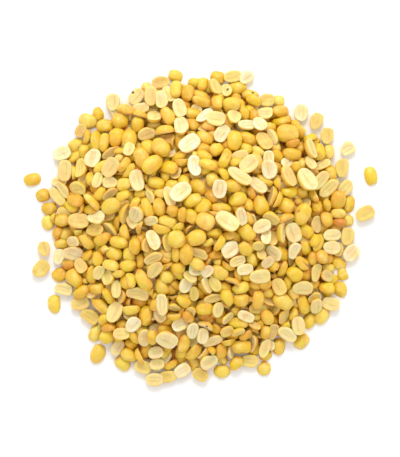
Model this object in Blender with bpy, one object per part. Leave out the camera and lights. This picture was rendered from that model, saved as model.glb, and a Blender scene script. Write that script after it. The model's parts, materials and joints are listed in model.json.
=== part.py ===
"""A low heap of dry split yellow lentils (skinned mung beans) and the few grains that lie apart from it.

Metres, +Z up. The origin is on the floor, below the middle of all that lies there.
The heap is one solid: a mound with the grains that show fused to it. Each grain that lies apart is a solid of its own.
"""

import math
import random

import bmesh
import bpy
from mathutils import Matrix, Vector

MM = 0.001

# Scale and middle of the view from above: one pixel in real size, and the pixel above the origin
PIXEL = 0.27 * MM
MIDDLE_PX = (200.3, 227.2)

# Half a bean: domed on one side, flat where it was split
GRAIN_LENGTH = 4.65 * MM
GRAIN_WIDTH = 3.55 * MM
GRAIN_THICKNESS = 1.9 * MM
WHOLE_THICKNESS = 3.2 * MM
SIZE_SPREAD = 0.10
OUTLINE_POWER = 2.3

# Heap: how far it reaches at every 15 degrees from +X, in pixels of the view, and its top
OUTLINE_PX = (
    153, 157, 161, 155, 154, 163, 158, 158, 156, 162, 163, 166,
    158, 152, 151, 154, 168, 162, 153, 149, 153, 157, 158, 159,
)
HEAP_HEIGHT = 14.5 * MM
PROFILE_FLATNESS = 1.8
PROFILE_SPREAD = 1.25

# Mound under the grains that show
COVER = 1.1 * MM
MOUND_INSET = 2.1 * MM
MOUND_EDGE_HEIGHT = 1.1 * MM
MOUND_RINGS = 5
MOUND_SIDES = 24

# Grains fused to the mound
SLOPE_GRAINS = 196
SLOPE_INSET = 4.4 * MM
CANDIDATES = 24
RIM_TRIES = 120
RIM_SPACING = 3.4 * MM
RIM_INSET = 2.2 * MM
STRAY_ROOM = 5.4 * MM
GRAIN_SIDES = 6
SUNK = 0.7 * MM
HEIGHT_JITTER = 0.35 * MM
MOST_TILT = math.radians(28)
SHARE_FACE_UP = 0.5
SHARE_WHOLE = 0.08
FLOOR_GAP = 0.06 * MM
SEED = 7

# Grains of the rim, read from above: x, y, length and width in pixels, turn from +X in degrees,
# and whether the split face is up
RIM_GRAINS = (
    (350.8, 253.0, 18.0, 14.5, 50, True),
    (346.8, 236.5, 18.0, 13.0, 80, True),
    (347.0, 220.5, 13.0, 12.0, 0, False),
    (348.7, 204.3, 18.0, 11.5, 80, False),
    (344.5, 188.5, 19.0, 13.0, 50, True),
    (341.7, 168.2, 19.0, 13.5, 85, True),
    (326.7, 136.2, 16.5, 13.0, 88, True),
    (300.9, 113.2, 17.0, 13.5, 85, True),
    (246.5, 78.0, 15.5, 12.5, 30, True),
    (217.6, 77.6, 15.0, 13.0, -10, False),
    (175.2, 75.8, 14.5, 12.0, -20, False),
    (160.9, 83.0, 18.0, 12.5, 12, True),
    (136.5, 97.0, 18.0, 13.5, 50, True),
    (113.2, 102.8, 17.5, 14.0, 90, True),
    (88.3, 120.6, 19.5, 14.5, -20, False),
    (76.0, 145.0, 16.0, 13.5, 20, False),
    (62.5, 153.7, 18.0, 13.5, 20, True),
    (42.8, 195.4, 14.0, 12.7, 20, False),
    (49.5, 208.2, 16.5, 12.5, 0, False),
    (48.0, 222.5, 15.5, 12.5, 95, False),
    (61.5, 243.5, 14.5, 11.0, 0, False),
    (59.5, 257.0, 16.0, 11.0, 75, True),
    (59.5, 274.0, 16.0, 13.5, 35, False),
    (63.7, 289.6, 18.0, 12.5, -10, True),
    (80.4, 303.0, 18.5, 14.5, 20, True),
    (89.9, 316.5, 19.0, 14.0, -30, True),
    (95.2, 333.2, 17.5, 13.0, 60, False),
    (122.5, 363.5, 17.0, 14.0, 125, False),
    (142.9, 367.1, 17.0, 13.0, -15, True),
    (154.6, 379.0, 18.0, 13.5, 0, True),
    (182.4, 370.0, 17.0, 13.0, 35, True),
    (200.2, 374.3, 16.0, 12.0, -30, True),
    (222.0, 370.9, 17.0, 13.0, 0, False),
    (250.0, 360.5, 17.0, 13.0, -5, True),
    (263.9, 368.4, 14.5, 13.0, 45, False),
    (278.8, 346.7, 17.0, 13.0, 85, False),
    (301.2, 341.3, 17.0, 13.0, 50, False),
    (309.2, 320.4, 17.0, 12.5, 65, False),
    (330.2, 303.8, 18.0, 13.5, -15, True),
    (340.2, 289.6, 16.5, 13.5, 100, False),
    (338.3, 262.2, 18.0, 12.0, -35, False),
    (195.3, 83.2, 14.5, 10.5, -5, False),
    (278.2, 101.3, 12.5, 11.0, 0, False),
    (266.5, 100.5, 15.0, 13.0, 0, True),
    (236.5, 88.5, 20.5, 13.0, 12, False),
    (250.0, 95.3, 17.5, 11.0, -8, False),
    (65.0, 171.0, 21.5, 14.0, 88, True),
    (57.5, 196.5, 21.0, 11.0, -48, True),
    (75.5, 157.0, 19.0, 10.0, 35, False),
    (66.5, 233.5, 17.0, 14.0, 0, False),
    (321.5, 315.5, 19.0, 14.0, 60, False),
    (118.0, 347.5, 17.0, 12.0, 60, True),
)

# Grains that lie apart, read the same way
STRAYS = (
    (32.2, 179.6, 17.5, 12.5, 12, False),
    (44.7, 248.6, 15.0, 12.0, 105, True),
    (41.1, 268.5, 19.0, 14.5, 45, True),
    (54.7, 304.2, 18.5, 12.8, 95, False),
    (97.8, 354.0, 20.0, 14.5, 65, False),
    (315.9, 121.5, 17.0, 12.8, 70, True),
    (347.5, 149.6, 15.0, 13.5, 30, True),
    (370.6, 176.2, 19.0, 12.8, 102, False),
    (364.7, 213.8, 19.5, 14.0, 27, True),
)
STRAY_SIDES = 12

# Levels of a grain from its flat side up: share of the outline and share of the thickness
PLAIN_HALF = ((1.0, 0.0), (0.88, 0.56), (0.42, 1.0))
PLAIN_WHOLE = ((0.55, 0.0), (1.0, 0.42), (0.92, 0.66), (0.5, 1.0))
FINE_HALF = ((0.94, 0.0), (1.0, 0.16), (0.93, 0.50), (0.72, 0.80), (0.32, 1.0))


def remove_everything():
    for old in list(bpy.data.objects):
        bpy.data.objects.remove(old)


def lentil_material():
    """The dull wax yellow of a skinned lentil."""
    material = bpy.data.materials.new("lentil")
    material.use_nodes = True
    shader = material.node_tree.nodes["Principled BSDF"]
    shader.inputs["Base Color"].default_value = (0.83, 0.60, 0.17, 1)
    shader.inputs["Roughness"].default_value = 0.45
    shader.inputs["Metallic"].default_value = 0
    return material


def outline_radius(angle):
    """How far the heap reaches at an angle from +X."""
    position = (angle / (2 * math.pi)) % 1 * len(OUTLINE_PX)
    before = int(position) % len(OUTLINE_PX)
    after = (before + 1) % len(OUTLINE_PX)
    share = (1 - math.cos(math.pi * (position % 1))) / 2
    return (OUTLINE_PX[before] * (1 - share) + OUTLINE_PX[after] * share) * PIXEL


def heap_height(x, y):
    """Height of the heap's outer surface above the floor."""
    reach = min(1, math.hypot(x, y) / outline_radius(math.atan2(y, x)))
    return HEAP_HEIGHT * (1 - reach**PROFILE_FLATNESS) ** PROFILE_SPREAD


def slope_normal(x, y, step=0.5 * MM):
    """Direction that the heap's outer surface faces."""
    rise_x = (heap_height(x + step, y) - heap_height(x - step, y)) / (2 * step)
    rise_y = (heap_height(x, y + step) - heap_height(x, y - step)) / (2 * step)
    return Vector((-rise_x, -rise_y, 1)).normalized()


def oval(sides):
    """Corners of an oval with slightly square shoulders that reaches 1 along both of its axes."""
    corners = []
    for i in range(sides):
        angle = 2 * math.pi * (i + 0.5) / sides
        along, across = math.cos(angle), math.sin(angle)
        x = math.copysign(abs(along) ** (2 / OUTLINE_POWER), along)
        y = math.copysign(abs(across) ** (2 / OUTLINE_POWER), across)
        corners.append((x, y))
    reach_x = max(x for x, y in corners)
    reach_y = max(y for x, y in corners)
    return [(x / reach_x, y / reach_y) for x, y in corners]


def ring(bm, length, width, share, z, sides):
    """Corners of one level of a grain."""
    return [bm.verts.new((x * share * length / 2, y * share * width / 2, z)) for x, y in oval(sides)]


def close_levels(bm, levels):
    """Skins the rings from the lowest to the highest and caps both ends."""
    bm.faces.new(reversed(levels[0]))
    for low, high in zip(levels, levels[1:]):
        for i in range(len(low)):
            j = (i + 1) % len(low)
            bm.faces.new((low[i], low[j], high[j], high[i]))
    bm.faces.new(levels[-1])


def grain_mesh(name, length, width, levels, thickness, sides):
    """A closed grain lying on z = 0. Levels are (share of the outline, share of the thickness)."""
    bm = bmesh.new()
    close_levels(bm, [ring(bm, length, width, share, z * thickness, sides) for share, z in levels])
    mesh = bpy.data.meshes.new(name)
    bm.to_mesh(mesh)
    bm.free()
    return mesh


def upside_down(thickness):
    """Turns a grain over about its long axis, so that the split face is up."""
    return Matrix.Translation((0, 0, thickness)) @ Matrix.Rotation(math.pi, 4, "X")


def add_grain(name, place, mesh, material, collection):
    grain = bpy.data.objects.new(name, mesh)
    mesh.materials.append(material)
    grain.matrix_world = place
    collection.objects.link(grain)
    return grain


def mound(material):
    """The plain body of the heap, with its surface under the grains that show."""
    bm = bmesh.new()
    top = bm.verts.new((0, 0, HEAP_HEIGHT - COVER))
    inner, rings = top, []
    for step in range(1, MOUND_RINGS + 1):
        corners = []
        for i in range(MOUND_SIDES):
            angle = 2 * math.pi * (i + 0.5 * (step % 2)) / MOUND_SIDES
            reach = (outline_radius(angle) - MOUND_INSET) * step / MOUND_RINGS
            x, y = reach * math.cos(angle), reach * math.sin(angle)
            corners.append(bm.verts.new((x, y, max(MOUND_EDGE_HEIGHT, heap_height(x, y) - COVER))))
        rings.append(corners)
    for i in range(MOUND_SIDES):
        bm.faces.new((inner, rings[0][i], rings[0][(i + 1) % MOUND_SIDES]))
    for step, (near, far) in enumerate(zip(rings, rings[1:]), start=1):
        for i in range(MOUND_SIDES):
            j = (i + 1) % MOUND_SIDES
            if step % 2:
                bm.faces.new((near[i], far[i], far[j]))
                bm.faces.new((near[i], far[j], near[j]))
            else:
                bm.faces.new((near[i], far[i], near[j]))
                bm.faces.new((far[i], far[j], near[j]))
    foot = [bm.verts.new((corner.co.x, corner.co.y, 0)) for corner in rings[-1]]
    for i in range(MOUND_SIDES):
        j = (i + 1) % MOUND_SIDES
        bm.faces.new((rings[-1][i], foot[i], foot[j], rings[-1][j]))
    bm.faces.new(reversed(foot))
    mesh = bpy.data.meshes.new("lentil_heap")
    bm.to_mesh(mesh)
    bm.free()
    return add_grain("lentil_heap", Matrix.Identity(4), mesh, material, bpy.context.scene.collection)


def from_pixels(x_px, y_px):
    """A point of the view from above, on the floor."""
    return Vector(((x_px - MIDDLE_PX[0]) * PIXEL, (MIDDLE_PX[1] - y_px) * PIXEL, 0))


def spread_evenly(draw, count, taken):
    """Points on the slope, each the one of several draws that lies furthest from those before."""
    points = list(taken)
    found = []
    while len(found) < count:
        best, best_gap = None, -1
        for _ in range(CANDIDATES):
            angle = draw.uniform(-math.pi, math.pi)
            reach = (outline_radius(angle) - SLOPE_INSET) * math.sqrt(draw.random())
            point = (reach * math.cos(angle), reach * math.sin(angle))
            gap = min((math.dist(point, other) for other in points), default=1)
            if gap > best_gap:
                best, best_gap = point, gap
        points.append(best)
        found.append(best)
    return found


def rim_points(taken, strays):
    """Points along the rim where the grains that were read leave a gap."""
    found = []
    for i in range(RIM_TRIES):
        angle = 2 * math.pi * i / RIM_TRIES
        reach = outline_radius(angle) - RIM_INSET
        point = (reach * math.cos(angle), reach * math.sin(angle))
        from_grains = min(math.dist(point, other) for other in taken + found)
        from_strays = min(math.dist(point, other) for other in strays)
        if from_grains > RIM_SPACING and from_strays > STRAY_ROOM:
            found.append(point)
    return found


def random_grain(draw, name):
    """A grain of its own size. Returns its mesh and its thickness."""
    length = GRAIN_LENGTH * draw.uniform(1 - SIZE_SPREAD, 1 + SIZE_SPREAD)
    width = GRAIN_WIDTH * draw.uniform(1 - SIZE_SPREAD, 1 + SIZE_SPREAD)
    whole = draw.random() < SHARE_WHOLE
    thickness = WHOLE_THICKNESS if whole else GRAIN_THICKNESS
    levels = PLAIN_WHOLE if whole else PLAIN_HALF
    return grain_mesh(name, length, width, levels, thickness, GRAIN_SIDES), thickness


def turned(draw, normal, most_tilt, thickness):
    """A random turn about the surface's normal, a random tilt, and either side up."""
    tilt_axis = Vector((draw.uniform(-1, 1), draw.uniform(-1, 1), 0)).normalized()
    tilt = Matrix.Rotation(draw.triangular(0, most_tilt, 0), 4, tilt_axis)
    stand = Vector((0, 0, 1)).rotation_difference(normal).to_matrix().to_4x4()
    turn = Matrix.Rotation(draw.uniform(0, 2 * math.pi), 4, "Z")
    over = upside_down(thickness) if draw.random() < SHARE_FACE_UP else Matrix.Identity(4)
    return tilt @ stand @ turn @ over


def lay_slope_grains(draw, points, material, collection):
    for i, (x, y) in enumerate(points):
        mesh, thickness = random_grain(draw, f"slope_{i}")
        normal = slope_normal(x, y)
        surface = Vector((x, y, heap_height(x, y)))
        base = surface - normal * (COVER + SUNK + draw.uniform(-1, 1) * HEIGHT_JITTER)
        place = Matrix.Translation(base) @ turned(draw, normal, MOST_TILT, thickness)
        grain = add_grain(f"slope_{i}", place, mesh, material, collection)
        lowest = min((place @ corner.co).z for corner in mesh.vertices)
        grain.matrix_world = Matrix.Translation((0, 0, max(0, FLOOR_GAP - lowest))) @ place


def lay_rim_grains(draw, points, material, collection):
    """Grains flat on the floor, half in the mound's edge."""
    for i, (x, y) in enumerate(points):
        mesh, thickness = random_grain(draw, f"rim_{i}")
        place = Matrix.Translation((x, y, FLOOR_GAP)) @ turned(draw, Vector((0, 0, 1)), 0, thickness)
        add_grain(f"rim_{i}", place, mesh, material, collection)


def lay_read_grain(name, row, levels, sides, gap, material, collection):
    """A grain at a place, size and turn read from above, flat on the floor."""
    x_px, y_px, length_px, width_px, turn, face_up = row
    mesh = grain_mesh(name, length_px * PIXEL, width_px * PIXEL, levels, GRAIN_THICKNESS, sides)
    over = upside_down(GRAIN_THICKNESS) if face_up else Matrix.Identity(4)
    place = Matrix.Translation(from_pixels(x_px, y_px) + Vector((0, 0, gap)))
    return add_grain(
        name, place @ Matrix.Rotation(math.radians(turn), 4, "Z") @ over, mesh, material, collection
    )


def signed_volume(faces):
    return sum(
        f.verts[0].co.dot(f.verts[i].co.cross(f.verts[i + 1].co)) / 6
        for f in faces
        for i in range(1, len(f.verts) - 1)
    )


def bodies_of(bm):
    """The faces of each connected shell."""
    left = set(bm.faces)
    while left:
        reached, edge_of_reach = set(), [left.pop()]
        while edge_of_reach:
            face = edge_of_reach.pop()
            reached.add(face)
            for edge in face.edges:
                for other in edge.link_faces:
                    if other in left:
                        left.discard(other)
                        edge_of_reach.append(other)
        yield reached


def keep_outer_body(mesh):
    """Drops loose scraps and fills hollows that the fusing sealed."""
    bm = bmesh.new()
    bm.from_mesh(mesh)
    shells = sorted(bodies_of(bm), key=signed_volume)
    extra = [face for shell in shells[:-1] for face in shell]
    bmesh.ops.delete(bm, geom=extra, context="FACES")
    bm.to_mesh(mesh)
    bm.free()


def fuse(body, collection):
    """Joins the collection's grains to the body, and removes them."""
    union = body.modifiers.new("fused grains", "BOOLEAN")
    union.operation = "UNION"
    union.solver = "MANIFOLD"
    union.operand_type = "COLLECTION"
    union.collection = collection
    bpy.context.view_layer.update()
    fused = bpy.data.meshes.new_from_object(body.evaluated_get(bpy.context.evaluated_depsgraph_get()))
    body.modifiers.remove(union)
    body.data = fused
    for grain in list(collection.objects):
        bpy.data.objects.remove(grain)
    bpy.data.collections.remove(collection)
    keep_outer_body(fused)


def build_heap(material):
    draw = random.Random(SEED)
    grains = bpy.data.collections.new("grains that show")
    bpy.context.scene.collection.children.link(grains)
    read = [tuple(from_pixels(row[0], row[1]).xy) for row in RIM_GRAINS]
    strays = [tuple(from_pixels(row[0], row[1]).xy) for row in STRAYS]
    for i, row in enumerate(RIM_GRAINS):
        lay_read_grain(f"read_{i}", row, PLAIN_HALF, GRAIN_SIDES, FLOOR_GAP, material, grains)
    rim = rim_points(read, strays)
    lay_rim_grains(draw, rim, material, grains)
    slope = spread_evenly(draw, SLOPE_GRAINS, read + rim)
    lay_slope_grains(draw, slope, material, grains)
    fuse(mound(material), grains)


def build_strays(material):
    scene = bpy.context.scene.collection
    for i, row in enumerate(STRAYS, start=1):
        lay_read_grain(f"stray_grain_{i}", row, FINE_HALF, STRAY_SIDES, 0, material, scene)


def main():
    remove_everything()
    material = lentil_material()
    build_heap(material)
    build_strays(material)


main()
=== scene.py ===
"""A heap of dry split yellow lentils: loose grains settled by a rigid body simulation, on a white floor."""

import json
import math
import random
from collections import namedtuple

import bmesh
import bpy
from mathutils import Matrix, Vector

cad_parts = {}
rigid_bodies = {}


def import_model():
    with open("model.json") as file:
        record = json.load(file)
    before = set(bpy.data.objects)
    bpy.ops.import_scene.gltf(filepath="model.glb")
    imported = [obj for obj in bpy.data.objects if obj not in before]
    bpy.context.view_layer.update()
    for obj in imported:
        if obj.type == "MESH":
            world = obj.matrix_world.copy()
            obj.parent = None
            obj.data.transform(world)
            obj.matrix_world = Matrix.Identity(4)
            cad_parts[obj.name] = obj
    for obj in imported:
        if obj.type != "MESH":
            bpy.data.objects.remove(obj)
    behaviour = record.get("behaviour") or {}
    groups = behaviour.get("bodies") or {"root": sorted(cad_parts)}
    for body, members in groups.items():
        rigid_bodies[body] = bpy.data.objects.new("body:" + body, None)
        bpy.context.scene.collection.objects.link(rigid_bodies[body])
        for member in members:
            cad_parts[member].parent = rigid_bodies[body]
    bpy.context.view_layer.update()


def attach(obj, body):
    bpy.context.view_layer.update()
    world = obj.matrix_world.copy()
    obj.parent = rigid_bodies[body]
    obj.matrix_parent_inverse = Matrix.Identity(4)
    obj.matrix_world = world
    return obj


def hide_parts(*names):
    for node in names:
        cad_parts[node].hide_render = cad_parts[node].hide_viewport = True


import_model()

# All is worked out and simulated in millimetres, the scene is in metres
MM = 0.001
SEED = 5

# View from straight above: millimetres to a pixel, and the pixel above the origin
PIXEL = 0.27
MIDDLE_PX = (200.3, 227.2)
PHOTO_PX = (400, 457)
LENS = 150
SENSOR = 36
CAMERA_HEIGHT = PHOTO_PX[1] * PIXEL * LENS / SENSOR

# Heap: how far it reaches at every 15 degrees from +X in pixels, and its height profile in millimetres
OUTLINE_PX = (
    153, 157, 161, 155, 154, 163, 158, 158, 156, 162, 163, 166,
    158, 152, 151, 154, 168, 162, 153, 149, 153, 157, 158, 159,
)
HEAP_HEIGHT = 14.5
PROFILE_FLATNESS = 1.8
PROFILE_SPREAD = 1.25

# Half a bean in millimetres, and its marks for the material: split face, groove (painted shade in the
# grooves, germ dent and hollow of a split face, and the scar of a whole bean), and edge (painted shade at
# the rim and lower sides, partly the grains' own warmer edges)
MARKS = ("cut", "groove", "edge")
LENGTH = 4.65
WIDTH = 3.55
THICKNESS = 1.9
HALF_KINDS = 23
WHOLE_KINDS = 3
CHIP_KINDS = 4

# Core, the fixed grains half sunk in it, and the layers of loose ones above
CORE_DEPTH = 5.5
CORE_INSET = 9.0
CORE_SHOWN_INSET = 6.0
BED_SPACING = 3.9
BED_SUNK = 0.3
LAYERS = 2
SPACING = 4.75
LAYER_RISE = 3.3
FIRST_LAYER_ROOM = 3.0
LAYER_ROOM = 2.2
SHARE_WHOLE = 0.05
SHARE_CHIP = 0.06

GRAVITY = 98.0
FRICTION = 0.75
PILE_FRAMES = 70
PILE_DAMPING = 0.15
TOP_FRAMES = 24
TOP_DAMPING = 0.98
SUBSTEPS = 7

# Top grains: the grid on which they are laid down, how far they lean with the slope, how much larger
# they are than they look, the inner share of a grain that rests on others, and the most they lift it
CELL = 0.45
LEAN = 0.75
LARGER = 1.04
INNER = 0.80
MOST_LIFT = 1.1

# Grains that fill the slope between them: their spacing, and their distance from others
FILL_SPACING = 3.0
FILL_CLEAR = 3.3

# Floor grains: how far in from the rim each ring lies and how far its grains are from others
FLOOR_RINGS = ((2.4, 3.1), (4.8, 3.0), (7.4, 3.2), (10.0, 3.4))
FILL_SIZE = 0.84
STRAY_ROOM = 5.4

# Pieces that the half beans are joined into, so that none gets too many triangles
HALF_PIECES = 6

# What is up: the dome, the split face or the edge of a half bean; or a bean that never split, or a chip
D, F, E, W, C = "dome", "face", "edge", "whole", "chip"

# Grains of the rim: x, y, length and width in pixels, turn from +X in degrees, what is up
RIM_GRAINS = (
    (350.8, 253, 18, 14.5, 50, F), (346.8, 236.5, 18, 13, 80, F), (347, 220.5, 13, 12, 0, D),
    (348.7, 204.3, 18, 11.5, 80, D), (344.5, 188.5, 19, 13, 50, F), (341.7, 168.2, 19, 13.5, 85, F),
    (326.7, 136.2, 16.5, 13, 88, F), (300.9, 113.2, 17, 13.5, 85, F), (246.5, 78, 15.5, 12.5, 30, F),
    (217.6, 77.6, 15, 13, -10, D), (175.2, 75.8, 14.5, 12, -20, D), (160.9, 83, 18, 12.5, 12, F),
    (136.5, 97, 18, 13.5, 50, F), (113.2, 102.8, 17.5, 14, 90, F), (88.3, 120.6, 19.5, 14.5, -20, D),
    (76, 145, 16, 13.5, 20, D), (62.5, 153.7, 18, 13.5, 20, F), (42.8, 195.4, 14, 12.7, 20, D),
    (49.5, 208.2, 16.5, 12.5, 0, D), (48, 222.5, 15.5, 12.5, 95, D), (61.5, 243.5, 14.5, 11, 0, D),
    (59.5, 257, 16, 11, 75, F), (59.5, 274, 16, 13.5, 35, D), (63.7, 289.6, 18, 12.5, -10, F),
    (80.4, 303, 18.5, 14.5, 20, F), (89.9, 316.5, 19, 14, -30, F), (95.2, 333.2, 17.5, 13, 60, D),
    (122.5, 363.5, 17, 14, 125, D), (142.9, 367.1, 17, 13, -15, F), (154.6, 379, 18, 13.5, 0, F),
    (182.4, 370, 17, 13, 35, F), (200.2, 374.3, 16, 12, -30, F), (222, 370.9, 17, 13, 0, D),
    (250, 360.5, 17, 13, -5, F), (263.9, 368.4, 14.5, 13, 45, D), (278.8, 346.7, 17, 13, 85, D),
    (301.2, 341.3, 17, 13, 50, D), (309.2, 320.4, 17, 12.5, 65, D), (330.2, 303.8, 18, 13.5, -15, F),
    (340.2, 289.6, 16.5, 13.5, 100, D), (338.3, 262.2, 18, 12, -35, D), (195.3, 83.2, 14.5, 10.5, -5, D),
    (278.2, 101.3, 12.5, 11, 0, D), (266.5, 100.5, 15, 13, 0, F), (236.5, 88.5, 20.5, 13, 12, D),
    (250, 95.3, 17.5, 11, -8, D), (65, 171, 21.5, 14, 88, F), (57.5, 196.5, 21, 11, -48, F),
    (75.5, 157, 19, 10, 35, D), (66.5, 233.5, 17, 14, 0, D), (321.5, 315.5, 19, 14, 60, D),
    (118, 347.5, 17, 12, 60, F),
)
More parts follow.
